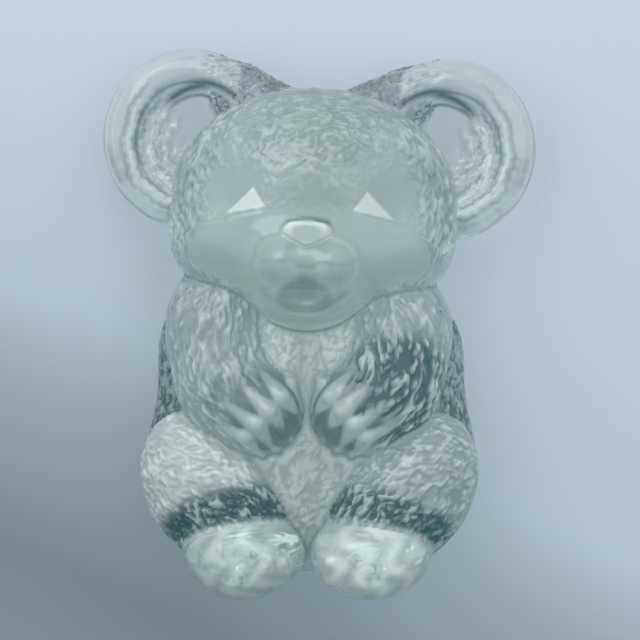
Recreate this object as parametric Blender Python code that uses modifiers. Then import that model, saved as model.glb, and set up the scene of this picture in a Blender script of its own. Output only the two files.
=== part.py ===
"""Pressed crystal koala: a seated figurine cast in one piece, at rest on its ground back.

+Z comes out of the belly, +Y runs from the seat to the crown and X is across the figure, which
is the same on both sides. The origin is the middle of the underside of the casting's box.
The design below is written in millimetres from the seat (y), the middle (x) and the back (z).
"""

import math

import bmesh
import bpy
from mathutils import Matrix, Vector

MM = 0.001

# Trunk: hips, loin behind the arms, chest and belly
HIP_WIDTH = 75.0
HIP_LENGTH = 50.0
LOIN_WIDTH = 66.0
LOIN_LENGTH = 44.0
REAR_DEPTH = 36.0
REAR_CENTRE_Z = 8.0
UNDER_NECK_SHARE = 0.25
CHEST_WIDTH = 46.0
CHEST_LENGTH = 50.0
CHEST_TOP = 32.0
BELLY_WIDTH = 32.0
BELLY_LENGTH = 46.0
BELLY_TOP = 29.0
BELLY_CENTRE_Y = 27.6

# Head, measured from the neck, where the jaw line crosses the chest
NECK_HEIGHT = 60.5
HEAD_WIDTH = 60.8
HEAD_LENGTH = 50.4
HEAD_TOP = 41.5
HEAD_CENTRE_Z = 18.0
NAPE_SHARE = 0.93
NAPE_CENTRE_Z = 10.8
CHEEK_SPREAD = 14.5
CHEEK_RADII = (15.2, 12.6, 18.0)
CHEEK_LIFT = 15.0
CHEEK_UNDER_TOP = 2.0

# Muzzle, measured from the jaw line
MUZZLE_RADII = (12.0, 10.5, 12.0)
MUZZLE_LIFT = 10.0
CHIN_RADII = (8.8, 7.4, 12.0)
CHIN_LIFT = 4.6
PUFF_RADIUS = 5.6
PUFF_SPREAD = 5.0
PUFF_LIFT = 9.8
NOSE_RADII = (5.8, 3.0, 5.0)
NOSE_LIFT = 16.6
MUZZLE_PROUD = 4.5
NOSE_PROUD = 6.5
MOUTH_RADII = (5.0, 2.4, 4.0)
MOUTH_LIFT = 3.6
MOUTH_UNDER_TOP = 2.0

# Eyes: a three-sided notch under a hollow temple
EYE_SPREAD = 12.6
EYE_LIFT = 22.9
EYE_REACH = 5.2
EYE_DEPTH = 3.0
EYE_LEAN = math.radians(24)
TEMPLE_SPREAD = 23.5
TEMPLE_LIFT = 27.0
TEMPLE_RADII = (9.5, 7.0, 7.5)
TEMPLE_DEPTH = 1.8

# Ears
EAR_RADIUS = 20.4
EAR_THICKNESS = 15.0
EAR_CENTRE_X = 28.7
EAR_LIFT = 39.2
EAR_RIM_WIDTH = 8.4
EAR_BACK_GRIND = 0.6
RECESS_DEPTH = 8.0
RECESS_FILLET = 2.4
BRIDGE_RADIUS = 7.4
BRIDGE_OUTER_X = 20.7
BRIDGE_INNER_X = 9.0
BRIDGE_RISE = 5.0
BRIDGE_UNDER_EAR_TOP = 0.4
BRIDGE_UNDER_CROWN = 0.8

# Arms and paws
SHOULDER = (20.0, 56.5, 18.0)
SHOULDER_RADII = (11.2, 14.5, 16.0)
ELBOW = (19.8, 45.5, 20.5)
ELBOW_RADII = (10.8, 13.0, 14.5)
FOREARM_RADIUS = 10.2
PAW = (10.4, 40.6, 25.0)
PAW_RADII = (10.6, 8.4, 9.6)
PAW_TURN = math.radians(42)
FINGER_RADIUS = 1.9
FINGER_TIP_RADIUS = 1.1
FINGER_ROOTS = ((5.8, 47.6), (7.8, 45.2), (10.0, 42.9), (12.4, 40.4), (14.6, 37.2))
FINGER_TIPS = ((1.6, 41.2), (1.9, 37.9), (3.4, 34.8), (5.9, 32.6), (9.0, 31.6))
FINGER_ROOT_Z = 33.2
FINGER_TIP_Z = 30.0
FINGER_BOW = 0.9

# Legs and feet
LEG = (20.2, 21.0, 16.5)
LEG_RADII = (20.0, 15.6, 16.0)
LEG_TURN = math.radians(52)
FOOT = (12.4, 9.6, 25.0)
FOOT_RADII = (12.2, 9.8, 13.6)
TOES = 5
TOE_RADII = (1.75, 4.2, 2.4)
TOE_PITCH = 3.2
TOE_ROW_X = 11.8
TOE_HEIGHT = 5.8
TOE_ARCH = 0.2
TOE_SUNK_SHARE = 0.6

# Ground flats and mesh fineness
SEAT_GRIND = 0.8
VOXEL = 0.85
SMOOTHING_PASSES = 5
KEPT_TRIANGLES = 0.062
CUTTER_SPAN = 400.0


def head_centre():
    return Vector((0, NECK_HEIGHT + HEAD_LENGTH / 2, HEAD_CENTRE_Z))


def head_skin(x, y):
    """Height of the head's front surface over a point of the face."""
    centre = head_centre()
    across = (x - centre.x) / (HEAD_WIDTH / 2)
    along = (y - centre.y) / (HEAD_LENGTH / 2)
    return centre.z + (HEAD_TOP - centre.z) * math.sqrt(max(0, 1 - across**2 - along**2))


def new_collection(name):
    made = bpy.data.collections.new(name)
    bpy.context.scene.collection.children.link(made)
    return made


def mesh_object(name, bm, collection, parent):
    mesh = bpy.data.meshes.new(name)
    bm.to_mesh(mesh)
    bm.free()
    made = bpy.data.objects.new(name, mesh)
    made.parent = parent
    collection.objects.link(made)
    return made


def placed(centre, radii=(1, 1, 1), turn=0.0):
    """Matrix, in metres, of a unit shape with these half sizes, turned about Z."""
    place = Matrix.Translation(Vector(centre) * MM)
    size = Matrix.Diagonal((*(Vector(radii) * MM), 1.0))
    return place @ Matrix.Rotation(turn, 4, "Z") @ size


def pour(bm, small):
    """Adds a small closed shape to the sculpt and frees it."""
    carrier = bpy.data.meshes.new("carrier")
    small.to_mesh(carrier)
    small.free()
    bm.from_mesh(carrier)
    bpy.data.meshes.remove(carrier)


def ball(centre, radii, turn=0.0, segments=40):
    """An ellipsoid with these half sizes."""
    small = bmesh.new()
    bmesh.ops.create_uvsphere(
        small,
        u_segments=segments,
        v_segments=segments // 2,
        radius=1,
        matrix=placed(centre, radii, turn),
    )
    return small


def mass(bm, centre, radii, turn=0.0):
    """One closed ellipsoid of the sculpt."""
    pour(bm, ball(centre, radii, turn))


def mass_pair(bm, centre, radii, turn=0.0):
    """The same ellipsoid on both sides of the figure."""
    x, y, z = centre
    mass(bm, (x, y, z), radii, turn)
    mass(bm, (-x, y, z), radii, -turn)


def lathed(outline, steps=64):
    """A closed solid of revolution about Z from (radius, height) points that start and end on it."""
    small = bmesh.new()
    points = [small.verts.new((r * MM, 0, z * MM)) for r, z in outline]
    edges = [small.edges.new(pair) for pair in zip(points, points[1:])]
    bmesh.ops.spin(
        small,
        geom=points + edges,
        axis=(0, 0, 1),
        cent=(0, 0, 0),
        angle=2 * math.pi,
        steps=steps,
        use_duplicate=False,
    )
    bmesh.ops.remove_doubles(small, verts=small.verts, dist=0.00001)
    bmesh.ops.recalc_face_normals(small, faces=small.faces)
    return small


def tapered_rod(bm, start, end, start_radius, end_radius, beads=9):
    """A chain of balls close enough to join into one tapered rod."""
    start, end = Vector(start), Vector(end)
    for i in range(beads):
        share = i / (beads - 1)
        radius = start_radius + (end_radius - start_radius) * share
        pour(bm, ball(start.lerp(end, share), (radius, radius, radius), segments=20))


def add_trunk(bm):
    depth = REAR_DEPTH / 2
    mass(bm, (0, HIP_LENGTH / 2, REAR_CENTRE_Z), (HIP_WIDTH / 2, HIP_LENGTH / 2, depth))
    loin_y = NECK_HEIGHT - LOIN_LENGTH * UNDER_NECK_SHARE
    mass(bm, (0, loin_y, REAR_CENTRE_Z), (LOIN_WIDTH / 2, LOIN_LENGTH / 2, depth))
    chest_y = NECK_HEIGHT - CHEST_LENGTH * UNDER_NECK_SHARE
    mass(bm, (0, chest_y, CHEST_TOP / 2), (CHEST_WIDTH / 2, CHEST_LENGTH / 2, CHEST_TOP / 2))
    belly_radii = (BELLY_WIDTH / 2, BELLY_LENGTH / 2, BELLY_TOP / 2)
    mass(bm, (0, BELLY_CENTRE_Y, BELLY_TOP / 2), belly_radii)


def add_head(bm):
    centre = head_centre()
    radii = Vector((HEAD_WIDTH / 2, HEAD_LENGTH / 2, HEAD_TOP - HEAD_CENTRE_Z))
    mass(bm, centre, radii)
    nape = (radii.x * NAPE_SHARE, radii.y * NAPE_SHARE, HEAD_CENTRE_Z)
    mass(bm, (0, centre.y, NAPE_CENTRE_Z), nape)
    cheek_y = NECK_HEIGHT + CHEEK_LIFT
    cheek_z = HEAD_TOP - CHEEK_UNDER_TOP - CHEEK_RADII[2]
    mass_pair(bm, (CHEEK_SPREAD, cheek_y, cheek_z), CHEEK_RADII)


def add_muzzle(bm):
    top = HEAD_TOP + MUZZLE_PROUD
    mass(bm, (0, NECK_HEIGHT + MUZZLE_LIFT, top - MUZZLE_RADII[2]), MUZZLE_RADII)
    mass(bm, (0, NECK_HEIGHT + CHIN_LIFT, HEAD_TOP - CHIN_RADII[2]), CHIN_RADII)
    puff = (PUFF_RADIUS, PUFF_RADIUS, PUFF_RADIUS)
    mass_pair(bm, (PUFF_SPREAD, NECK_HEIGHT + PUFF_LIFT, top - PUFF_RADIUS), puff)
    nose_z = HEAD_TOP + NOSE_PROUD - NOSE_RADII[2]
    mass(bm, (0, NECK_HEIGHT + NOSE_LIFT, nose_z), NOSE_RADII)


def ear_outline():
    """Half section of an ear: a rolled edge round a shallow bowl."""
    roll = EAR_THICKNESS / 2
    outline = [(0, 0)]
    arc_steps = 14
    for i in range(arc_steps + 1):
        angle = math.pi * (i / arc_steps - 0.5)
        outline.append((EAR_RADIUS - roll * (1 - math.cos(angle)), roll * (1 + math.sin(angle))))
    bowl = EAR_RADIUS - EAR_RIM_WIDTH
    floor = EAR_THICKNESS - RECESS_DEPTH
    fillet_steps = 6
    for i in range(fillet_steps + 1):
        angle = math.pi / 2 * i / fillet_steps
        inset = RECESS_FILLET * (1 - math.cos(angle))
        outline.append((bowl - inset, floor + RECESS_FILLET * (1 - math.sin(angle))))
    outline.append((0, floor))
    return outline


def add_ears(bm):
    """Bowled discs, and the furred bridges that tie them to the crown."""
    crown = head_centre()
    ear_y = NECK_HEIGHT + EAR_LIFT
    bridge_y = ear_y + EAR_RADIUS - BRIDGE_RADIUS - BRIDGE_UNDER_EAR_TOP
    crown_y = crown.y + HEAD_LENGTH / 2 - BRIDGE_RADIUS - BRIDGE_UNDER_CROWN
    for side in (1, -1):
        ear = lathed(ear_outline())
        centre = Vector((side * EAR_CENTRE_X, ear_y, -EAR_BACK_GRIND))
        bmesh.ops.translate(ear, vec=centre * MM, verts=ear.verts)
        pour(bm, ear)
        outer = (side * BRIDGE_OUTER_X, bridge_y, BRIDGE_RADIUS)
        inner = (side * BRIDGE_INNER_X, crown_y, BRIDGE_RADIUS + BRIDGE_RISE)
        tapered_rod(bm, outer, inner, BRIDGE_RADIUS, BRIDGE_RADIUS)


def add_arms(bm):
    mass_pair(bm, SHOULDER, SHOULDER_RADII)
    mass_pair(bm, ELBOW, ELBOW_RADII)
    mass_pair(bm, PAW, PAW_RADII, PAW_TURN)
    knuckle_radius = (FINGER_RADIUS + FINGER_TIP_RADIUS) / 2
    for side in (1, -1):
        flip = Vector((side, 1, 1))
        tapered_rod(bm, flip * Vector(ELBOW), flip * Vector(PAW), FOREARM_RADIUS, PAW_RADII[1])
        for (root_x, root_y), (tip_x, tip_y) in zip(FINGER_ROOTS, FINGER_TIPS):
            root = Vector((side * root_x, root_y, FINGER_ROOT_Z))
            tip = Vector((side * tip_x, tip_y, FINGER_TIP_Z))
            knuckle = (root + tip) / 2 + Vector((-side * FINGER_BOW, FINGER_BOW, FINGER_BOW))
            tapered_rod(bm, root, knuckle, FINGER_RADIUS, knuckle_radius)
            tapered_rod(bm, knuckle, tip, knuckle_radius, FINGER_TIP_RADIUS)


def add_legs(bm):
    mass_pair(bm, LEG, LEG_RADII, LEG_TURN)
    mass_pair(bm, FOOT, FOOT_RADII)
    for i in range(TOES):
        step = i - (TOES - 1) / 2
        x = TOE_ROW_X + step * TOE_PITCH
        y = TOE_HEIGHT + TOE_ARCH * step * step
        across = (x - FOOT[0]) / FOOT_RADII[0]
        along = (y - FOOT[1]) / FOOT_RADII[1]
        surface = FOOT[2] + FOOT_RADII[2] * math.sqrt(1 - across**2 - along**2)
        mass_pair(bm, (x, y, surface - TOE_RADII[2] * TOE_SUNK_SHARE), TOE_RADII)


def eye_cutter(side, cutters, parent):
    """A three-sided spike, point down in the brow, whose lowest side is the eye's facet."""
    eye_y = NECK_HEIGHT + EYE_LIFT
    skin = head_skin(EYE_SPREAD, eye_y)
    depth = 2 * EYE_DEPTH
    bm = bmesh.new()
    bmesh.ops.create_cone(
        bm,
        cap_ends=True,
        segments=3,
        radius1=0,
        radius2=2 * EYE_REACH * MM,
        depth=depth * MM,
        matrix=Matrix.Translation((0, 0, (depth / 2 - EYE_DEPTH) * MM)),
    )
    lean = Matrix.Rotation(side * EYE_LEAN, 4, "Y")
    bmesh.ops.transform(bm, matrix=lean, verts=bm.verts)
    bmesh.ops.translate(bm, vec=Vector((side * EYE_SPREAD, eye_y, skin)) * MM, verts=bm.verts)
    return mesh_object(f"cut_eye_{'right' if side > 0 else 'left'}", bm, cutters, parent)


def temple_cutter(side, cutters, parent):
    y = NECK_HEIGHT + TEMPLE_LIFT
    z = head_skin(TEMPLE_SPREAD, y) + TEMPLE_RADII[2] - TEMPLE_DEPTH
    bm = ball((side * TEMPLE_SPREAD, y, z), TEMPLE_RADII)
    return mesh_object(f"cut_temple_{'right' if side > 0 else 'left'}", bm, cutters, parent)


def mouth_cutter(cutters, parent):
    centre = (0, NECK_HEIGHT + MOUTH_LIFT, HEAD_TOP + MUZZLE_PROUD - MOUTH_UNDER_TOP)
    return mesh_object("cut_mouth", ball(centre, MOUTH_RADII), cutters, parent)


def slab_cutter(name, low_corner, high_corner, cutters, parent):
    low, high = Vector(low_corner), Vector(high_corner)
    bm = bmesh.new()
    bmesh.ops.create_cube(bm, size=2, matrix=placed((low + high) / 2, (high - low) / 2))
    return mesh_object(name, bm, cutters, parent)


def subtract(part, cutter):
    cutter.hide_render = True
    cutter.display_type = "WIRE"
    boolean = part.modifiers.new(cutter.name, "BOOLEAN")
    boolean.operation = "DIFFERENCE"
    boolean.solver = "EXACT"
    boolean.object = cutter


def glass():
    material = bpy.data.materials.new("clear_lead_crystal")
    material.use_nodes = True
    shader = material.node_tree.nodes["Principled BSDF"]
    shader.inputs["Base Color"].default_value = (0.78, 0.88, 0.86, 1)
    shader.inputs["Metallic"].default_value = 0.0
    shader.inputs["Roughness"].default_value = 0.05
    shader.inputs["IOR"].default_value = 1.55
    shader.inputs["Transmission Weight"].default_value = 1.0
    return material


def make_casting(figure, cutters, parent):
    bm = bmesh.new()
    add_trunk(bm)
    add_head(bm)
    add_muzzle(bm)
    add_ears(bm)
    add_arms(bm)
    add_legs(bm)
    casting = mesh_object("crystal_koala", bm, figure, parent)
    casting.data.materials.append(glass())

    join = casting.modifiers.new("Join masses", "REMESH")
    join.mode = "VOXEL"
    join.voxel_size = VOXEL * MM
    soften = casting.modifiers.new("Soften creases", "SMOOTH")
    soften.iterations = SMOOTHING_PASSES
    thin = casting.modifiers.new("Fewer faces", "DECIMATE")
    thin.ratio = KEPT_TRIANGLES
    thin.use_symmetry = True
    for side in (1, -1):
        subtract(casting, temple_cutter(side, cutters, parent))
        subtract(casting, eye_cutter(side, cutters, parent))
    subtract(casting, mouth_cutter(cutters, parent))
    far = CUTTER_SPAN
    subtract(casting, slab_cutter("cut_back", (-far, -far, -far), (far, far, 0), cutters, parent))
    seat = slab_cutter("cut_seat", (-far, -far, -far / 2), (far, SEAT_GRIND, far), cutters, parent)
    subtract(casting, seat)
    return casting


def centre_on_origin(frame, casting):
    """Moves the frame so that the casting's underside has the origin at its middle."""
    bpy.context.view_layer.update()
    evaluated = casting.evaluated_get(bpy.context.evaluated_depsgraph_get())
    corners = [evaluated.matrix_world @ Vector(corner) for corner in evaluated.bound_box]
    middle_y = (min(c.y for c in corners) + max(c.y for c in corners)) / 2
    frame.location.y -= middle_y


def main():
    for old in list(bpy.data.objects):
        bpy.data.objects.remove(old)
    figure = new_collection("crystal koala")
    cutters = new_collection("cutters")
    frame = bpy.data.objects.new("figure_frame", None)
    figure.objects.link(frame)
    casting = make_casting(figure, cutters, frame)
    centre_on_origin(frame, casting)


main()
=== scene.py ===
"""Looks of the pressed crystal koala, lying on its back under a camera that looks straight down.

The casting is sculpted as a distance field in millimetres, measured like the CAD: x across, y from
the seat, z from the ground back. The field is turned into one mesh, and the coat is pressed into
that mesh stroke by stroke, so the fur that bends the light is real relief. Masks stored at the
mesh's points say where the glass is milky, and where painted shade darkens it and painted light
brightens it.
"""

import math

import bpy
import numpy as np
from mathutils import Matrix, Vector, kdtree


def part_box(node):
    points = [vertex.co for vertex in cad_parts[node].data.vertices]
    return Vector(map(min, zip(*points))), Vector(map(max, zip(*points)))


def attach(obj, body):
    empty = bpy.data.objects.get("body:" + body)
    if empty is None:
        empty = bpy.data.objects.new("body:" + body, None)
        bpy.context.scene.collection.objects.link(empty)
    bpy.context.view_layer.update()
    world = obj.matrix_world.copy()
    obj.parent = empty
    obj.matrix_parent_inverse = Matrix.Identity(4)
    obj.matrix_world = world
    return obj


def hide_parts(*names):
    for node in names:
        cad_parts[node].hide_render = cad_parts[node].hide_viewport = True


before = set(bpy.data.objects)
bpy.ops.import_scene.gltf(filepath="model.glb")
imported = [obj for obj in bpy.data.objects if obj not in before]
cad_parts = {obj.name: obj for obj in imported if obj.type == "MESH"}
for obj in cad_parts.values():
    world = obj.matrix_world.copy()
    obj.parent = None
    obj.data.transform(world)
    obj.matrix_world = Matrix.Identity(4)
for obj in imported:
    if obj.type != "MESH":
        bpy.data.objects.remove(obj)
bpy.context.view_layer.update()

NODE = "crystal_koala"
SEAT_GRIND = 0.8
CASTING_TOP = 120.0
GRID_STEP = 0.4
GRID_MARGIN = 2.0
GRID_REACH = 52.0
ROOM_ABOVE = 3
SEED = 11

NECK_HEIGHT = 62.0
HEAD_LEAN = math.radians(2.6)
HEAD_MIDDLE = 84.0
HEAD_COAT = (30.4, 27.0)
EAR_CENTRE = (28.9, 99.2)
EAR_RADIUS = 20.4
EAR_THICKNESS = 15.0
EAR_BOWL_RADIUS = 12.0
EAR_FLOOR = 7.0
FINGER_ROOTS = ((7.0, 50.6), (10.4, 48.8), (13.4, 46.2), (15.8, 42.8), (17.4, 38.8))
FINGER_TIPS = ((1.2, 41.2), (1.4, 37.6), (3.2, 34.4), (6.0, 32.2), (9.4, 31.2))
PAW = ((10.6, 41.4, 25.6), (10.6, 9.8, 11.6))
FOOT = ((13.4, 9.7, 24.0), (12.8, 9.7, 15.6))
SOLE_HEIGHT = 38.2
EYE_CORNERS = ((8.6, 82.3, 41.4), (11.5, 86.5, 39.7), (17.6, 81.0, 34.8), (16.5, 96.0, 36.6))
# The coat: how much its strokes stray in direction and how large they are, depths in millimetres.
LAY_SPREAD = {"trunk": 0.7, "legs": 0.55, "bridge": 1.0, "head": 0.3, "arms": 0.28}
STROKE_SIZE = {"head": 0.8, "trunk": 0.8, "legs": 0.82, "arms": 0.95}
AREA_PER_STROKE = 1.2
PIT_SHARE = 0.68
THINNEST_COAT = 0.03
SHALLOW_COAT = 0.2
DEEPEST_COAT = 0.44
# The rolled ear's rings, a slight relief that also sets painted highlights and painted dark rings:
# radius, width, and strength, which is negative where a ring is dark.
RIM_START = 15.6
EAR_EDGE = 19.5
EAR_BANDS = (
    (20.0, 0.6, -1.0),
    (18.7, 0.5, 0.75),
    (16.9, 0.35, 0.6),
    (14.9, 0.45, -0.45),
    (13.5, 0.7, 0.8),
    (12.2, 0.45, -0.65),
    (10.2, 0.55, 1.0),
    (8.8, 0.4, -0.5),
    (6.6, 0.4, 0.85),
    (5.6, 0.35, -0.4),
    (3.6, 0.5, 0.5),
)
TOE_X = (5.0, 8.8, 12.8, 16.8, 20.4)

# What the glass's colour and clearness are mixed from; the bright colour and its loss of clearness are
# painted light, the deep colour is painted shade.
CLEAR_COLOR = (0.87, 0.89, 0.90, 1)
MILKY_COLOR = (0.56, 0.645, 0.60, 1)
PAINTED_LIGHT_COLOR = (0.855, 0.93, 0.885, 1)
PAINTED_SHADE_COLOR = (0.022, 0.095, 0.10, 1)
VOLUME_TINT = (0.45, 0.86, 0.80, 1)
MILKY_TRANSMISSION = 0.66
PAINTED_LIGHT_LOSS = 0.42


# ---------------------------------------------------------------- distance field of the sculpt


def ellipsoid(p, centre, radii, turn=0.0):
    x, y, z = (p[i] - centre[i] for i in range(3))
    if turn:
        c, s = math.cos(turn), math.sin(turn)
        x, y = c * x + s * y, c * y - s * x
    rx, ry, rz = radii
    near = np.sqrt((x / rx) ** 2 + (y / ry) ** 2 + (z / rz) ** 2)
    slope = np.sqrt((x / rx**2) ** 2 + (y / ry**2) ** 2 + (z / rz**2) ** 2)
    return near * (near - 1) / (slope + 1e-6)


def tapered_rod(p, start, end, start_radius, end_radius):
    run = [end[i] - start[i] for i in range(3)]
    along = sum((p[i] - start[i]) * run[i] for i in range(3)) / sum(v * v for v in run)
    along = np.clip(along, 0, 1)
    away = np.sqrt(sum((p[i] - start[i] - run[i] * along) ** 2 for i in range(3)))
    return away - (start_radius + (end_radius - start_radius) * along)


def merge(a, b, soft):
    """Union whose joint is rounded over a width of soft."""
    share = np.clip(0.5 + 0.5 * (b - a) / soft, 0, 1)
    return b + (a - b) * share - soft * share * (1 - share)


def carve(a, b, soft):
    """Takes b away from a, with edges rounded over a width of soft."""
    return -merge(-a, b, soft)


def plane(p, point, normal):
    """Distance from a plane, positive on the side that the normal points to."""
    size = math.sqrt(sum(n * n for n in normal))
    return sum((p[i] - point[i]) * normal[i] / size for i in range(3))


def rounded_disc(radial, height, radius, low, high, fillet):
    middle, half = (low + high) / 2, (high - low) / 2
    out_r = radial - (radius - fillet)
    out_z = np.abs(height - middle) - (half - fillet)
    corner = np.sqrt(np.maximum(out_r, 0) ** 2 + np.maximum(out_z, 0) ** 2)
    return corner + np.minimum(np.maximum(out_r, out_z), 0) - fillet


def trunk_field(p):
    hips = ellipsoid(p, (11.4, 27.0, 9.5), (25.3, 25.0, 18.5))
    loin = ellipsoid(p, (9.0, 52.0, 9.5), (24.8, 20.0, 17.5))
    chest = ellipsoid(p, (0.0, 52.0, 11.0), (21.0, 30.0, 21.0))
    belly = ellipsoid(p, (0.0, 30.0, 9.0), (18.0, 27.0, 20.0))
    flank = tapered_rod(p, (24.0, 54.0, 8.0), (26.0, 30.0, 8.0), 9.4, 10.5)
    rear = merge(merge(hips, loin, 5.0), flank, 3.0)
    return merge(rear, merge(chest, belly, 5.0), 3.0)


def skull_field(p):
    skull = ellipsoid(p, (0.0, 85.9, 17.0), (31.2, 24.2, 25.0))
    nape = ellipsoid(p, (0.0, 85.8, 8.0), (29.4, 23.2, 16.0))
    cheek = ellipsoid(p, (14.6, 76.0, 21.0), (15.4, 12.0, 18.6))
    return merge(merge(skull, nape, 3.0), cheek, 6.0)


def eye_fields(p):
    """Space cut for an eye: the notch over a flat triangular facet, and the flattened temple."""
    inner, apex, outer, far_temple = EYE_CORNERS
    below = plane(p, inner, (-0.10, -1.0, 0.42))
    facet = -plane(p, outer, facet_normal(inner, apex, outer))
    beyond = plane(p, apex, (0.68, 0.73, 0.0))
    notch = np.maximum(np.maximum(below, facet), beyond)
    temple = -plane(p, outer, facet_normal(apex, outer, far_temple))
    hollow = np.maximum(np.maximum(temple, below), -beyond)
    return notch, hollow


def facet_normal(a, b, c):
    u = Vector(b) - Vector(a)
    v = Vector(c) - Vector(a)
    normal = u.cross(v)
    return tuple(normal if normal.z > 0 else -normal)


def muzzle_field(p):
    base = ellipsoid(p, (0.0, 70.4, 32.5), (13.6, 11.4, 13.4))
    chin = ellipsoid(p, (0.0, 65.2, 32.0), (10.2, 7.2, 13.4))
    face = merge(base, chin, 3.0)
    mouth = ellipsoid(p, (0.0, 65.2, 46.9), (7.4, 4.0, 3.4))
    face = carve(face, mouth, 1.2)
    puff = ellipsoid(p, (4.9, 71.2, 39.4), (5.6, 5.3, 7.3))
    return merge(face, puff, 1.0)


def nose_field(p):
    lens = ellipsoid(p, (0.0, 78.0, 41.0), (5.4, 4.5, 7.4))
    brow = plane(p, (0.0, 79.6, 46.0), (0.0, 1.0, -0.15))
    front = plane(p, (0.0, 77.2, 46.4), (0.0, 0.12, 1.0))
    point = plane(p, (0.0, 74.6, 0.0), (0.5, -1.0, 0.0))
    return np.maximum(np.maximum(lens, brow), np.maximum(front, point))


def ear_field(p):
    across = (p[0] - EAR_CENTRE[0]) * 1.02
    radial = np.sqrt(across**2 + (p[1] - EAR_CENTRE[1]) ** 2)
    disc = rounded_disc(radial, p[2], EAR_RADIUS, -0.6, EAR_THICKNESS, 6.6)
    oval = np.hypot(across, (p[1] - EAR_CENTRE[1] + 0.6) * 0.93)
    bowl = rounded_disc(oval, p[2], EAR_BOWL_RADIUS, EAR_FLOOR, 40.0, 3.0)
    return carve(disc, bowl, 2.6)


def bridge_field(p):
    return tapered_rod(p, (18.0, 109.6, 7.0), (8.0, 104.0, 11.0), 7.4, 7.4)


def arm_field(p):
    shoulder = ellipsoid(p, (19.5, 58.0, 18.0), (11.8, 14.0, 16.5))
    elbow = ellipsoid(p, (17.2, 47.4, 20.0), (11.8, 11.6, 15.4))
    forearm = tapered_rod(p, (16.4, 44.2, 24.0), (10.2, 41.0, 26.5), 9.8, 9.0)
    paw = ellipsoid(p, *PAW)
    return merge(merge(shoulder, elbow, 5.0), merge(forearm, paw, 3.0), 4.0)


def paw_skin(x, y):
    (cx, cy, cz), (rx, ry, rz) = PAW
    return cz + rz * math.sqrt(max(0.08, 1 - ((x - cx) / rx) ** 2 - ((y - cy) / ry) ** 2))


def finger_field(p):
    hand = None
    for (rx, ry), (tx, ty) in zip(FINGER_ROOTS, FINGER_TIPS):
        root = (rx, ry, paw_skin(rx, ry) - 0.8)
        tip = (tx, ty, paw_skin(tx, ty) - 0.2)
        mx, my = (rx + tx) / 2 - 0.9, (ry + ty) / 2 + 0.9
        knuckle = (mx, my, paw_skin(mx, my))
        finger = merge(
            tapered_rod(p, root, knuckle, 1.0, 1.6), tapered_rod(p, knuckle, tip, 1.6, 0.6), 0.6
        )
        hand = finger if hand is None else merge(hand, finger, 0.25)
    return hand


def leg_field(p):
    thigh = ellipsoid(p, (20.1, 22.6, 16.5), (19.6, 15.4, 16.0), math.radians(52))
    shin = ellipsoid(p, (14.6, 15.4, 20.0), (12.6, 11.4, 14.6), math.radians(40))
    return merge(thigh, shin, 4.0)


def foot_field(p):
    sole = ellipsoid(p, *FOOT)
    sole = -merge(-sole, -(p[2] - SOLE_HEIGHT), 2.4)
    for i, x in enumerate(TOE_X):
        arch = 0.10 * (x - TOE_X[2]) ** 2 / 4
        high = SOLE_HEIGHT - 1.1 - arch
        toe = tapered_rod(p, (x, 8.4 + arch, high), (x, 5.0 + arch, high - 1.7), 1.4, 1.5)
        sole = merge(sole, toe, 1.0)
    return sole


def groups(p):
    """Distance to each part of the figure; the figure is the same on both sides."""
    p = (np.abs(p[0]), p[1], p[2])
    notch, hollow = eye_fields(p)
    skull = carve(carve(skull_field(p), hollow, 1.6), notch, 0.25)
    muzzle = muzzle_field(p)
    return {
        "trunk": trunk_field(p),
        "head": skull,
        "muzzle": muzzle,
        "nose": nose_field(p),
        "ears": ear_field(p),
        "bridge": bridge_field(p),
        "arms": arm_field(p),
        "fingers": finger_field(p),
        "legs": leg_field(p),
        "feet": foot_field(p),
    }


def casting_field(p):
    part = groups(p)
    head = merge(part["head"], part["muzzle"], 5.5)
    head = merge(head, part["nose"], 0.3)
    ears = merge(part["ears"], part["bridge"], 1.6)
    head = merge(head, ears, 1.0)
    arms = merge(part["arms"], part["fingers"], 0.5)
    legs = merge(part["legs"], part["feet"], 1.8)
    body = merge(part["trunk"], legs, 1.0)
    body = merge(body, arms, 0.8)
    whole = merge(body, head, 0.8)
    whole = -merge(-whole, p[2], 0.5)
    return -merge(-whole, p[1] - SEAT_GRIND, 0.5)


# ---------------------------------------------------------------- from field to mesh


def sample_field():
    """The field on a grid; the left half is the right half mirrored."""
    x = np.arange(0, GRID_REACH, GRID_STEP, dtype=np.float32)[:, None, None]
    y = np.arange(-GRID_MARGIN, CASTING_TOP + ROOM_ABOVE, GRID_STEP, dtype=np.float32)[None, :, None]
    z = np.arange(-GRID_MARGIN, GRID_REACH, GRID_STEP, dtype=np.float32)[None, None, :]
    half = casting_field((x, y, z)).astype(np.float32)
    field = np.concatenate([half[:0:-1], half], axis=0)
    origin = np.array([-x[-1, 0, 0], -GRID_MARGIN, -GRID_MARGIN])
    return field, origin


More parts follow.
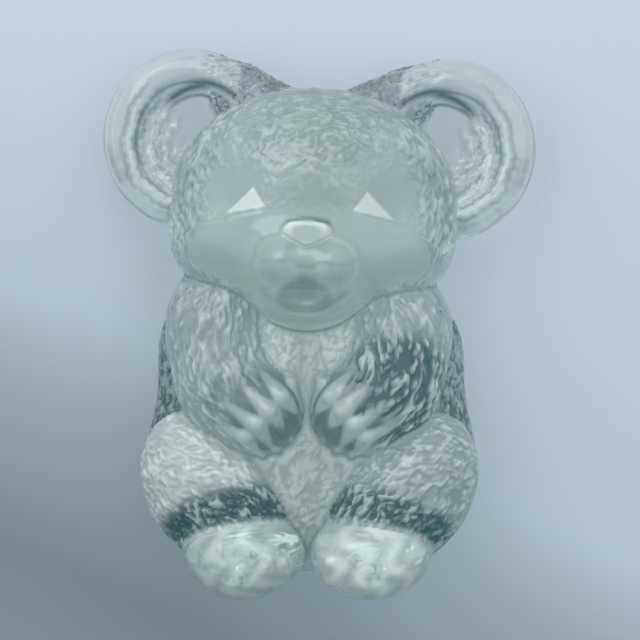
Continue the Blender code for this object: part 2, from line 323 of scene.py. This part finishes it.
def surface_net(field, origin, step):
    """One vertex in each cell that the surface crosses, and a quad round each crossed edge."""
    inside = field < 0
    nx, ny, nz = field.shape
    corners = [(i, j, k) for i in (0, 1) for j in (0, 1) for k in (0, 1)]
    count = np.zeros((nx - 1, ny - 1, nz - 1), np.uint8)
    for i, j, k in corners:
        count += inside[i : nx - 1 + i, j : ny - 1 + j, k : nz - 1 + k]
    cells = np.argwhere((count > 0) & (count < 8))
    index = np.full(count.shape, -1, np.int64)
    index[tuple(cells.T)] = np.arange(len(cells))
    total = np.zeros((len(cells), 3))
    hits = np.zeros(len(cells))
    for a in corners:
        for axis in range(3):
            if a[axis]:
                continue
            b = tuple(a[i] + (i == axis) for i in range(3))
            va = field[tuple((cells + a).T)]
            vb = field[tuple((cells + b).T)]
            crossed = (va < 0) != (vb < 0)
            share = va[crossed] / (va[crossed] - vb[crossed])
            point = np.tile(np.array(a, float), (len(share), 1))
            point[:, axis] += share
            total[crossed] += point
            hits[crossed] += 1
    verts = origin + step * (cells + total / hits[:, None])
    faces = []
    for axis in range(3):
        low = [slice(None)] * 3
        high = [slice(None)] * 3
        low[axis], high[axis] = slice(0, -1), slice(1, None)
        start, end = inside[tuple(low)], inside[tuple(high)]
        edges = np.argwhere(start != end)
        one, two = (axis + 1) % 3, (axis + 2) % 3
        step_one, step_two = np.eye(3, dtype=int)[one], np.eye(3, dtype=int)[two]
        ring = [edges, edges - step_one, edges - step_one - step_two, edges - step_two]
        quads = np.stack([index[tuple(r.T)] for r in ring], axis=1)
        leaving = start[tuple(edges.T)]
        quads[~leaving] = quads[~leaving][:, ::-1]
        faces.append(quads)
    return verts, np.concatenate(faces)


def relaxed(verts, faces, passes):
    """Evens out the grid's steps, and keeps the ground flats flat."""
    pairs = np.concatenate([faces[:, [i, (i + 1) % 4]] for i in range(4)])
    degree = np.bincount(pairs[:, 0], minlength=len(verts)).astype(float)
    grounded = verts[:, 2] < 0.25
    seated = verts[:, 1] < SEAT_GRIND + 0.25
    for _ in range(passes):
        mean = np.zeros_like(verts)
        for axis in range(3):
            mean[:, axis] = np.bincount(pairs[:, 0], verts[pairs[:, 1], axis], len(verts))
        mean /= degree[:, None]
        mean[grounded, 2] = verts[grounded, 2]
        mean[seated, 1] = verts[seated, 1]
        verts = verts * 0.45 + mean * 0.55
    return verts


def vertex_normals(verts, faces):
    cross = np.cross(verts[faces[:, 2]] - verts[faces[:, 0]], verts[faces[:, 3]] - verts[faces[:, 1]])
    normals = np.zeros_like(verts)
    for corner in range(4):
        for axis in range(3):
            normals[:, axis] += np.bincount(faces[:, corner], cross[:, axis], len(verts))
    return normals / (np.linalg.norm(normals, axis=1, keepdims=True) + 1e-12)


# ---------------------------------------------------------------- the pressed coat


def fade(value, start, end):
    share = np.clip((value - start) / (end - start), 0, 1)
    return share * share * (3 - 2 * share)


def head_coat(x, y):
    """Fur deepens towards the head's outline, and leaves the temples, cheeks and muzzle bare."""
    around = np.hypot(x / HEAD_COAT[0], (y - HEAD_MIDDLE) / HEAD_COAT[1])
    temple = fade(np.hypot((x - 16.0) / 6.4, (y - 85.6) / 5.4), 0.7, 1.25)
    cheek = fade(np.hypot((x - 13.5) / 12.5, (y - 73.5) / 8.5), 0.85, 1.25)
    muzzle = fade(np.hypot(x / 14.0, (y - 70.0) / 12.5), 0.9, 1.1)
    return (0.12 + 0.26 * fade(around, 0.6, 0.88)) * temple * cheek * muzzle


def ear_coat(x, y, z):
    """Fur on the rim beside the crown, and on the outer part of the bowl's floor."""
    beside_crown = fade(y, 104.5, 108.5) * fade(-x, -29.0, -23.0)
    outside_bowl = fade(np.hypot(x - EAR_CENTRE[0], y - EAR_CENTRE[1]), 12.5, 14.5)
    floor = (1 - fade(z, EAR_FLOOR + 0.4, EAR_FLOOR + 3.0)) * fade(x - y * 0.45, -19.0, -8.0)
    return 0.4 * beside_crown * outside_bowl + (1 - outside_bowl) * floor * 0.34


def coat_depth(verts, normals):
    """How deep the coat is pressed at each vertex, and which group of the figure it is on."""
    x, y, z = np.abs(verts[:, 0]), verts[:, 1], verts[:, 2]
    p = (x, y, z)
    part = groups(p)
    names = list(part)
    nearest = np.argmin(np.stack([part[name] for name in names]), axis=0)
    levels = {
        "trunk": 0.2 + 0.16 * fade(x, 16, 26),
        "head": head_coat(x, y),
        "ears": ear_coat(x, y, z),
        "bridge": 0.36,
        "arms": 0.36,
        "fingers": 0.2,
        "legs": (0.26 + 0.16 * leg_band(p)) * fade(foot_field(p), 0.0, 1.6),
    }
    depth = np.zeros(len(verts))
    for name, level in levels.items():
        depth = np.where(nearest == names.index(name), level, depth)
    depth *= 0.5 + 0.5 * fade(normals[:, 2], 0.05, 0.45)
    depth *= fade(z, 0.6, 3.0)
    depth *= fade(y, SEAT_GRIND + 0.6, SEAT_GRIND + 3.0)
    depth *= 0.08 + 0.92 * fade(finger_field(p), 0.6, 2.8)
    return depth, nearest, names


def leg_band(p):
    """One in the pitted band where a leg meets its foot, which painted shade darkens."""
    foot = foot_field(p)
    return fade(foot, 0.2, 1.4) * (1 - fade(foot, 4.5, 9.0)) * fade(p[2], 8.0, 16.0)


def lay_direction(point, name):
    """Which way a stroke of the coat runs at a point."""
    x, y, _ = point
    side = 1.0 if x >= 0 else -1.0
    ax = abs(x)
    if name in ("head", "bridge"):
        return Vector((-(y - HEAD_MIDDLE), x, 0.0))
    if name == "arms":
        turn = min(1.0, max(0.0, (56.0 - y) / 16.0))
        return Vector((side * (0.25 - 1.05 * turn), -1.0 + 0.3 * turn, 0.0))
    if name == "legs":
        return Vector((side * 0.85, 0.5 - 0.02 * (ax - 20.0), 0.0))
    if name == "ears":
        return Vector((-(y - EAR_CENTRE[1]), ax - EAR_CENTRE[0], 0.0))
    if ax > 22:
        return Vector((0.1, 1.0, 0.0))
    return Vector((0.3, 1.0, 0.0))


def lay_on_skin(point, normal, name):
    """The stroke's direction, laid flat on the surface."""
    lay = lay_direction(point, name)
    lay = lay - normal * lay.dot(normal)
    if lay.length < 0.05:
        lay = normal.orthogonal()
    lay.normalize()
    return lay


def lay_spread(point, name):
    """How far strokes stray from their direction; on the head, further towards its middle."""
    spread = LAY_SPREAD.get(name, 0.5)
    if name == "head":
        off = math.hypot(point[0] / HEAD_COAT[0], (point[1] - HEAD_MIDDLE) / HEAD_COAT[1])
        spread += 1.2 * min(1.0, max(0.0, (0.85 - off) / 0.3))
    return spread


def press_coat(verts, normals, depth, nearest, names):
    """Adds up short strokes, most of them pits and some ridges, and returns each vertex's height."""
    rng = np.random.default_rng(SEED)
    tree = kdtree.KDTree(len(verts))
    for i, v in enumerate(verts):
        tree.insert(v, i)
    tree.balance()
    height = np.zeros(len(verts))
    furred = np.flatnonzero(depth > THINNEST_COAT)
    stroke_count = int(len(furred) * GRID_STEP**2 / AREA_PER_STROKE)
    for centre in rng.choice(furred, stroke_count, replace=False):
        name = names[nearest[centre]]
        normal = Vector(normals[centre])
        lay = lay_on_skin(verts[centre], normal, name)
        lay = Matrix.Rotation(rng.normal(0, lay_spread(verts[centre], name)), 3, normal) @ lay
        side = normal.cross(lay)
        fine = STROKE_SIZE.get(name, 1.0) * (0.8 if depth[centre] < SHALLOW_COAT else 1.0)
        long = rng.uniform(0.8, 2.3) * fine
        wide = rng.uniform(0.30, 0.46) * fine
        bend = rng.normal(0, 0.12)
        push = rng.uniform(0.5, 1.2) * (-1 if rng.random() < PIT_SHARE else 0.8)
        found = tree.find_range(Vector(verts[centre]), long * 1.9)
        near = np.fromiter((f[1] for f in found), int, len(found))
        offset = verts[near] - verts[centre]
        u = offset @ np.array(lay)
        v = offset @ np.array(side) + bend * u * u
        height[near] += push * np.exp(-((u / long) ** 2) - (v / wide) ** 2)
    return np.clip(height, -1.6, 1.3)


def ear_bands(verts, sign):
    """The bright rings of the rolled ear, or its dark ones, as sign says: strongest at its outer side.
    They give a slight relief, and painted highlights and painted dark rings.
    """
    x, y = np.abs(verts[:, 0]) - EAR_CENTRE[0], verts[:, 1] - EAR_CENTRE[1]
    turn = np.arctan2(y, x)
    waves = ((0.9, 2.0, 0.6), (0.3, 11.0, 0.0), (0.2, 37.0, 2.0))
    ragged = sum(size * np.sin(turn * often + shift) for size, often, shift in waves)
    out = np.hypot(x, y * 0.96)
    outward = 0.25 + 0.75 * fade(np.cos(turn + 0.35), -0.25, 0.7)
    total = np.zeros(len(verts))
    for radius, width, strength in EAR_BANDS:
        if strength * sign > 0:
            loose = ragged if radius < RIM_START else 0.0
            reach = 1.0 if radius > EAR_EDGE else outward
            ring = abs(strength) * np.exp(-(((out + loose - radius) / width) ** 2))
            total = np.maximum(total, ring * reach)
    return total


def ripple(verts, on_ear):
    """Low waves that fire-polished glass keeps, and the rings of the rolled ears."""
    x, y = verts[:, 0], verts[:, 1]
    slow = np.sin(x * 0.43 + 1.3) * np.sin(y * 0.37) * 0.05
    rings = 0.03 * (ear_bands(verts, 1) - ear_bands(verts, -1))
    return slow + rings * on_ear


# ---------------------------------------------------------------- where the glass is milky, and where shade and light are painted

# Pressed glass shows the room bent through it. That room isn't known, so these masks put the milky,
# dark and bright places where the photograph shows them, also where its two sides differ.


def split_skin(verts, nearest, names):
    """Each vertex's side, its place on the half where x is positive, and the group it is on."""
    side, p = verts[:, 0], (np.abs(verts[:, 0]), verts[:, 1], verts[:, 2])
    return side, p, {name: nearest == names.index(name) for name in names}


def blob(x, y, centre_x, centre_y, reach_x, reach_y):
    """One inside an ellipse, fading to nothing just beyond it."""
    return 1 - fade(np.hypot((x - centre_x) / reach_x, (y - centre_y) / reach_y), 0.65, 1.1)


def milkiness(verts):
    """How cloudy the glass looks: most in the head, chest, legs and soles, least in the ears."""
    x, y, z = np.abs(verts[:, 0]), verts[:, 1], verts[:, 2]
    head = fade(-np.hypot(x / 31.0, (y - HEAD_MIDDLE) / 27.5), -1.06, -0.9) * fade(z, 3.0, 14.0)
    chest = fade(-np.hypot(x / 33.0, (y - 50.0) / 26.0), -1.1, -0.8) * fade(z, 6.0, 22.0)
    legs = 0.95 * fade(y, 5.0, 12.0) * fade(z, 3.0, 12.0) * (y < 44)
    belly = 0.8 * fade(-x, -9.0, -3.0) * fade(y, 12.0, 20.0)
    soles = fade(-np.hypot((x - 12.5) / 12.5, (y - 9.5) / 9.5), -1.05, -0.75)
    soles = soles * fade(z, 26.0, 34.0)
    ears = 0.16 * (y > 79)
    return np.clip(np.max([head, 0.92 * chest, legs, belly, soles, ears], axis=0), 0, 1)


def coat_painted_shade(side, p, height, on):
    """Painted shade in the pits of the coat, more so in some places than in others."""
    x, y, _ = p
    band = np.where(on["legs"], leg_band(p), 0)
    calf = np.where(on["legs"], np.maximum(band, np.where(side > 0, 0.42, 0.24)), 0)
    right_arm = blob(side, y, 19.5, 45.0, 14.5, 15.0) * 0.95
    left_paw = blob(side, y, -11.0, 42.5, 13.0, 10.0) * 0.6
    arm = np.where(on["arms"], np.maximum(right_arm, np.maximum(left_paw, 0.3)), 0)
    edge = np.where(on["trunk"], fade(x, 24.0, 30.0) * 0.95, 0)
    crown = 0.42 * fade(np.hypot(x / 30.0, (y - HEAD_MIDDLE) / 27.0), 0.6, 0.95)
    crown = np.where(on["head"], np.maximum(crown, 0.34 * blob(x, y, 0.0, 98.0, 17.0, 8.5)), 0)
    web = np.where(on["bridge"], 0.5, 0)
    belly = np.where(on["trunk"], 0.36, 0)
    region = np.max([calf, arm, edge, crown, web, belly], axis=0)
    return region * np.clip(0.22 + np.where(side < 0, 0.36, 0.2) * band - height * 1.05, 0, 1.0)


def face_painted_shade(x, y, z):
    """Painted shade in the open mouth, and a painted line of shade over the nose."""
    mouth = 0.52 * blob(x, y + 0.22 * x, 0.0, 65.4, 6.8, 3.7) * fade(z, 39.0, 43.0)
    brow = 0.85 * np.exp(-(((y - 80.2 + x * x * 0.035) / 0.6) ** 2)) * (1 - fade(x, 3.8, 5.4))
    return np.maximum(mouth, brow * fade(z, 36.0, 38.0))


def hand_painted_shade(p):
    """Painted shade in the grooves between the fingers."""
    fingers = finger_field(p)
    between = fade(fingers, 0.15, 0.7) * (1 - fade(fingers, 1.6, 3.0))
    return 0.75 * between * blob(p[0], p[1], 8.0, 40.5, 10.0, 11.0)


def ear_painted_shade(verts):
    """Painted shade on the ear: its dark rings, the shade under the top of its rim, and its bowl."""
    x, y = np.abs(verts[:, 0]), verts[:, 1]
    wall = np.hypot(x - EAR_CENTRE[0] + 2.5, (y - EAR_CENTRE[1] + 0.6) * 0.93)
    shade = np.exp(-(((wall - 11.8) / 0.85) ** 2)) * fade(y, 105.5, 109.0)
    bowl = 0.12 * fade(-wall, -11.5, -9.5)
    return np.max([ear_bands(verts, -1), shade, bowl], axis=0)


def painted_shade_levels(verts, height, nearest, names):
    """How much painted shade darkens the glass at each vertex."""
    side, p, on = split_skin(verts, nearest, names)
    dark = [
        coat_painted_shade(side, p, height, on),
        face_painted_shade(*p),
        np.where(on["arms"], hand_painted_shade(p), 0),
        # Painted shade in the creases where limbs and body meet, off the ears.
        np.where(on["ears"], ear_painted_shade(verts), 0.5 * crease_between(p)),
    ]
    return np.clip(np.max(dark, axis=0), 0, 1)


def crease_between(p):
    """One in the creases where two limbs, or a limb and the body, meet."""
    part = groups(p)
    masses = (
        ("head", "muzzle", "nose"),
        ("ears",),
        ("arms", "fingers"),
        ("legs", "feet"),
        ("trunk",),
    )
    gaps = np.sort([np.min([part[name] for name in names], axis=0) for names in masses], axis=0)
    return 1 - fade(gaps[1] - gaps[0], 0.2, 1.5)


def inside_triangle(x, y, corners):
    """One inside a triangle of the face, with crisp edges."""
    (ax, ay), (bx, by), (cx, cy) = (corner[:2] for corner in corners)
    sides = ((ax, ay, bx, by), (bx, by, cx, cy), (cx, cy, ax, ay))
    turn = math.copysign(1.0, (bx - ax) * (cy - ay) - (by - ay) * (cx - ax))
    nearest = None
    for px, py, qx, qy in sides:
        length = math.hypot(qx - px, qy - py)
        gap = turn * ((qx - px) * (y - py) - (qy - py) * (x - px)) / length
        nearest = gap if nearest is None else np.minimum(nearest, gap)
    return fade(nearest, -0.15, 0.3)


def face_light(side, p, on):
    """Painted highlights in the eye facets, on the nose's rim, and along the lip and the outer edge of
    the puffs.
    """
    x, y, _ = p
    eyes = inside_triangle(x, y, EYE_CORNERS[:3]) * on["head"]
    nose_rim = np.hypot(x / 4.6, (y - 77.3) / 2.5)
    nose = (0.25 + 0.7 * fade(nose_rim, 0.45, 0.95)) * (1 - fade(nose_rim, 1.02, 1.2)) * on["nose"]
    lip = np.exp(-(((np.hypot(x / 6.2, (y - 65.2) / 4.2) - 1) / 0.13) ** 2)) * fade(-y, -65.5, -63.5)
    puff = np.exp(-(((np.hypot((x - 4.9) / 5.2, (y - 71.2) / 5.1) - 1) / 0.09) ** 2))
    puff = puff * fade(x - 0.4 * (y - 71.0), 0.5, 4.0)
    muzzle = np.maximum(0.3 * lip, np.where(side > 0, 0.16, 0.06) * puff)
    return np.max([eyes, nose, muzzle * on["muzzle"]], axis=0)


def sole_light(side, p):
    """Painted streaks of light in the clear soles, stronger in the right one."""
    x, y, _ = p
    streaks = 0.5 + 0.5 * np.sin(side * 0.9 + y * 0.35 + 1.9 * np.sin(y * 0.7 - side * 0.31))
    strength = np.where(side > 0, 0.26 + 0.46 * streaks, 0.1 + 0.42 * streaks)
    return blob(x, y, 13.4, 9.6, 13.4, 10.2) * strength


def coat_light(side, p, height, on):
    """Painted highlights on the tips of the coat and over the chest's two lobes, and painted light on the
    arms, the legs and the sides of the head.
    """
    x, y, z = p
    painted_ridge_glints = np.clip(height * 0.5, 0, 0.5)
    lobes = 0.62 * blob(x, y, 6.8, 53.5, 4.2, 6.5)
    chest = 0.40 * fade(-x, -20.0, -12.0) * fade(z, 12.0, 24.0)
    open_leg = fade(z, 4.0, 14.0) * (1 - 0.85 * leg_band(p))
    lights = {
        "trunk": np.maximum(chest, lobes),
        "arms": 0.2 + painted_ridge_glints * 0.5,
        "legs": (np.where(side < 0, 0.6, 0.26) + 0.5 * painted_ridge_glints) * open_leg,
        "head": 0.12 * fade(x, 10.0, 24.0) + painted_ridge_glints * 0.4,
    }
    return np.max([light * on[name] for name, light in lights.items()], axis=0)


def ear_light(side, verts):
    """Painted highlights in the ear's bright rings, and painted light over the ear, paler on the rim
    outside its bowl.
    """
    out = np.hypot(np.abs(side) - EAR_CENTRE[0], verts[:, 1] - EAR_CENTRE[1])
    base = np.where(side > 0, 0.30, 0.26) + 0.08 * fade(out, 11.5, 14.0)
    return np.maximum(ear_bands(verts, 1), base)


def painted_light_levels(verts, height, nearest, names):
    """How much painted light brightens the glass at each vertex."""
    side, p, on = split_skin(verts, nearest, names)
    light = [
        face_light(side, p, on),
        sole_light(side, p) * on["feet"],
        # Painted light on the fingers.
        0.34 * fade(-finger_field(p), -0.5, 0.3),
        coat_light(side, p, height, on),
        ear_light(side, verts) * on["ears"],
    ]
    return np.clip(np.max(light, axis=0), 0, 1)


# ---------------------------------------------------------------- the casting


def leaned(verts):
    """Tilts the head a little to one side above the shoulders."""
    angle = HEAD_LEAN * fade(verts[:, 1], 50.0, 72.0)
    x, rise = verts[:, 0], verts[:, 1] - NECK_HEIGHT
    turned = verts.copy()
    turned[:, 0] = x * np.cos(angle) + rise * np.sin(angle)
    turned[:, 1] = NECK_HEIGHT - x * np.sin(angle) + rise * np.cos(angle)
    return turned


def make_casting(low, high):
    field, origin = sample_field()
    verts, faces = surface_net(field, origin, GRID_STEP)
    verts = relaxed(verts, faces, 3)
    normals = vertex_normals(verts, faces)
    depth, nearest, names = coat_depth(verts, normals)
    height = press_coat(verts, normals, depth, nearest, names)
    sway = ripple(verts, nearest == names.index("ears")) * fade(verts[:, 2], 0.6, 3.0)
    verts = verts + normals * (height * depth + sway)[:, None]

    scale = (high[1] - low[1]) / (CASTING_TOP - SEAT_GRIND)
    placed = leaned(verts) * scale
    placed[:, 1] += low[1] - SEAT_GRIND * scale
    placed[:, 2] += low[2]
    mesh = bpy.data.meshes.new("koala_crystal_body")
    mesh.from_pydata(placed.tolist(), [], faces.tolist())
    mesh.shade_smooth()
    # The masks: the coat's depth, painted shade, painted light, and how milky the glass is.
    masks = {
        "coat": np.clip(depth / DEEPEST_COAT, 0, 1),
        "painted_shade": painted_shade_levels(verts, height, nearest, names),
        "light": painted_light_levels(verts, height, nearest, names),
        "milk": milkiness(verts),
    }
    for name, values in masks.items():
        mask = mesh.attributes.new(name, "FLOAT", "POINT")
        mask.data.foreach_set("value", values.astype(np.float32))
    made = bpy.data.objects.new("koala_crystal_body", mesh)
    bpy.context.scene.collection.objects.link(made)
    return made


# ---------------------------------------------------------------- materials


def mask_value(nodes, name):
    """One of the masks stored at the mesh's points."""
    mask = nodes.new("ShaderNodeAttribute")
    mask.attribute_name = name
    return mask.outputs["Fac"]


def ranged(nodes, links, value, low, high):
    """Turns a mask from 0 to 1 into a value from low to high."""
    spread = nodes.new("ShaderNodeMapRange")
    spread.inputs["To Min"].default_value = low
    spread.inputs["To Max"].default_value = high
    links.new(value, spread.inputs["Value"])
    return spread.outputs["Result"]


def tinted(nodes, links, mask, under, color):
    """Lays a colour over another, a fixed one or a node's, as strongly as the mask says."""
    mix = nodes.new("ShaderNodeMix")
    mix.data_type = "RGBA"
    if isinstance(under, tuple):
        mix.inputs[6].default_value = under
    else:
        links.new(under, mix.inputs[6])
    mix.inputs[7].default_value = color
    links.new(mask, mix.inputs[0])
    return mix.outputs[2]


def grain_bump(nodes, links, coat):
    """Fine grain on the coat only, too fine for the mesh."""
    place = nodes.new("ShaderNodeTexCoord")
    grain = nodes.new("ShaderNodeTexNoise")
    grain.inputs["Scale"].default_value = 1300.0
    grain.inputs["Detail"].default_value = 3.0
    links.new(place.outputs["Object"], grain.inputs["Vector"])
    weight = nodes.new("ShaderNodeMath")
    weight.operation = "MULTIPLY"
    links.new(grain.outputs["Fac"], weight.inputs[0])
    links.new(coat, weight.inputs[1])
    bump = nodes.new("ShaderNodeBump")
    bump.inputs["Strength"].default_value = 0.5
    bump.inputs["Distance"].default_value = 0.00015
    links.new(weight.outputs["Value"], bump.inputs["Height"])
    return bump.outputs["Normal"]


def crystal_material():
    material = bpy.data.materials.new("lead_crystal")
    material.use_nodes = True
    nodes, links = material.node_tree.nodes, material.node_tree.links
    shader = nodes["Principled BSDF"]
    shader.inputs["IOR"].default_value = 1.54
    milk, light, painted_shade, coat = (mask_value(nodes, name) for name in ("milk", "light", "painted_shade", "coat"))

    # Clearness falls with milkiness, and falls further under painted light.
    clearness_after_milk_and_painted_light = nodes.new("ShaderNodeMath")
    clearness_after_milk_and_painted_light.operation = "MULTIPLY_ADD"
    clearness_after_milk_and_painted_light.inputs[1].default_value = -PAINTED_LIGHT_LOSS
    links.new(light, clearness_after_milk_and_painted_light.inputs[0])
    links.new(ranged(nodes, links, milk, 1.0, MILKY_TRANSMISSION), clearness_after_milk_and_painted_light.inputs[2])
    links.new(clearness_after_milk_and_painted_light.outputs["Value"], shader.inputs["Transmission Weight"])

    colour = tinted(nodes, links, milk, CLEAR_COLOR, MILKY_COLOR)
    # Painted light laid over the colour, whitest where its mask is one.
    colour = tinted(nodes, links, light, colour, PAINTED_LIGHT_COLOR)
    # Painted shade laid over the colour, darkest where its mask is one.
    colour = tinted(nodes, links, painted_shade, colour, PAINTED_SHADE_COLOR)
    links.new(colour, shader.inputs["Base Color"])
    links.new(ranged(nodes, links, coat, 0.01, 0.11), shader.inputs["Roughness"])
    links.new(grain_bump(nodes, links, coat), shader.inputs["Normal"])

    tint = nodes.new("ShaderNodeVolumeAbsorption")
    tint.inputs["Color"].default_value = VOLUME_TINT
    tint.inputs["Density"].default_value = 6.0
    links.new(tint.outputs["Volume"], nodes["Material Output"].inputs["Volume"])
    return material


def table_material():
    material = bpy.data.materials.new("table_with_painted_shadow")
    material.use_nodes = True
    nodes, links = material.node_tree.nodes, material.node_tree.links
    shader = nodes["Principled BSDF"]
    shader.inputs["Roughness"].default_value = 0.6
    place = nodes.new("ShaderNodeTexCoord")
    along = nodes.new("ShaderNodeVectorMath")
    along.operation = "DOT_PRODUCT"
    along.inputs[1].default_value = (-0.42, -0.90, 0.0)
    across = nodes.new("ShaderNodeMapRange")
    across.inputs["From Min"].default_value = -0.08
    across.inputs["From Max"].default_value = 0.40
    # Painted shadow: the table darkens towards the feet and the side where x is negative, deepest in a
    # soft band, and pales again beyond it.
    ramp = color_ramp(
        nodes,
        (
            (0.0, (0.60, 0.675, 0.745)),
            (0.125, (0.57, 0.65, 0.71)),
            (0.21, (0.50, 0.595, 0.64)),
            (0.25, (0.36, 0.44, 0.475)),
            (0.33, (0.19, 0.25, 0.27)),
            (1.0, (0.50, 0.57, 0.62)),
        ),
    )
    links.new(place.outputs["Object"], along.inputs[0])
    links.new(along.outputs["Value"], across.inputs["Value"])
    links.new(across.outputs["Result"], ramp.inputs["Fac"])
    links.new(ramp.outputs["Color"], shader.inputs["Base Color"])
    return material


# ---------------------------------------------------------------- table, light and camera


def make_table(low):
    gap = 0.0003
    side = 1.4
    corners = [(-side, -side), (side, -side), (side, side), (-side, side)]
    mesh = bpy.data.meshes.new("table_top")
    mesh.from_pydata([(x, y, low[2] - gap) for x, y in corners], [], [(0, 1, 2, 3)])
    mesh.materials.append(table_material())
    table = bpy.data.objects.new("table_top", mesh)
    bpy.context.scene.collection.objects.link(table)


def make_window():
    """One soft window beyond the head, aimed at the figure."""
    place = Vector((-0.35, 0.80, 0.80))
    data = bpy.data.lights.new("window", "AREA")
    data.shape = "RECTANGLE"
    data.size, data.size_y = 0.9, 0.7
    data.energy = 4.0
    data.color = (0.96, 0.98, 1.0)
    light = bpy.data.objects.new("window", data)
    light.location = place
    light.rotation_euler = (-place).to_track_quat("-Z", "Y").to_euler()
    bpy.context.scene.collection.objects.link(light)


def make_world():
    """A pale room, bright to the head's side, dark overhead and where the photographer stands."""
    world = bpy.data.worlds.new("room")
    bpy.context.scene.world = world
    world.use_nodes = True
    nodes, links = world.node_tree.nodes, world.node_tree.links
    background = nodes["Background"]
    place = nodes.new("ShaderNodeTexCoord")
    facing = nodes.new("ShaderNodeVectorMath")
    facing.operation = "DOT_PRODUCT"
    facing.inputs[1].default_value = (-0.05, 0.80, 0.56)
    links.new(place.outputs["Generated"], facing.inputs[0])
    room = color_ramp(
        nodes,
        (
            (0.0, (0.07, 0.10, 0.11)),
            (0.38, (0.22, 0.27, 0.29)),
            (0.62, (1.0, 1.04, 1.08)),
            (1.0, (1.3, 1.34, 1.4)),
        ),
    )
    spread = nodes.new("ShaderNodeMapRange")
    spread.inputs["From Min"].default_value = -1.0
    links.new(facing.outputs["Value"], spread.inputs["Value"])
    links.new(spread.outputs["Result"], room.inputs["Fac"])
    split = nodes.new("ShaderNodeSeparateXYZ")
    links.new(place.outputs["Generated"], split.inputs["Vector"])
    overhead = color_ramp(nodes, ((0.0, (1, 1, 1)), (0.90, (1, 1, 1)), (0.975, (0.30, 0.31, 0.32))))
    links.new(split.outputs["Z"], overhead.inputs["Fac"])
    both = nodes.new("ShaderNodeMix")
    both.data_type = "RGBA"
    both.blend_type = "MULTIPLY"
    both.inputs[0].default_value = 1.0
    links.new(room.outputs["Color"], both.inputs[6])
    links.new(overhead.outputs["Color"], both.inputs[7])
    links.new(both.outputs[2], background.inputs["Color"])
    background.inputs["Strength"].default_value = 0.88


def color_ramp(nodes, stops):
    ramp = nodes.new("ShaderNodeValToRGB")
    elements = ramp.color_ramp.elements
    while len(elements) < len(stops):
        elements.new(0.5)
    for element, (position, color) in zip(elements, stops):
        element.position = position
        element.color = (*color, 1)
    return ramp


def make_camera(low, high):
    """Looks almost straight down at the figure, with its head towards the top of the picture."""
    lens, sensor = 70.0, 36.0
    distance = 0.2908
    lean_right, lean_up = math.radians(1.83), math.radians(1.06)
    roll = math.radians(0.02)
    data = bpy.data.cameras.new("camera")
    data.lens, data.sensor_width = lens, sensor
    data.clip_start = 0.01
    camera = bpy.data.objects.new("camera", data)
    middle = Vector(((low[0] + high[0]) / 2, (low[1] + high[1]) / 2, low[2]))
    aim = middle + Vector((0.0018, -0.0011, 0.0))
    away = Vector((math.tan(lean_right), math.tan(lean_up), 1.0)).normalized()
    camera.location = aim + away * distance
    right = Vector((0.0, 1.0, 0.0)).cross(away).normalized()
    face = Matrix((right, away.cross(right), away)).transposed()
    camera.rotation_euler = (face @ Matrix.Rotation(roll, 3, "Z")).to_euler()
    bpy.context.scene.collection.objects.link(camera)
    bpy.context.scene.camera = camera


low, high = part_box(NODE)
make_camera(low, high)
make_table(low)
make_world()
make_window()
casting = make_casting(low, high)
casting.data.materials.append(crystal_material())
casting.visible_shadow = False
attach(casting, "root")
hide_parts(NODE)
bpy.context.scene.view_settings.view_transform = "Standard"
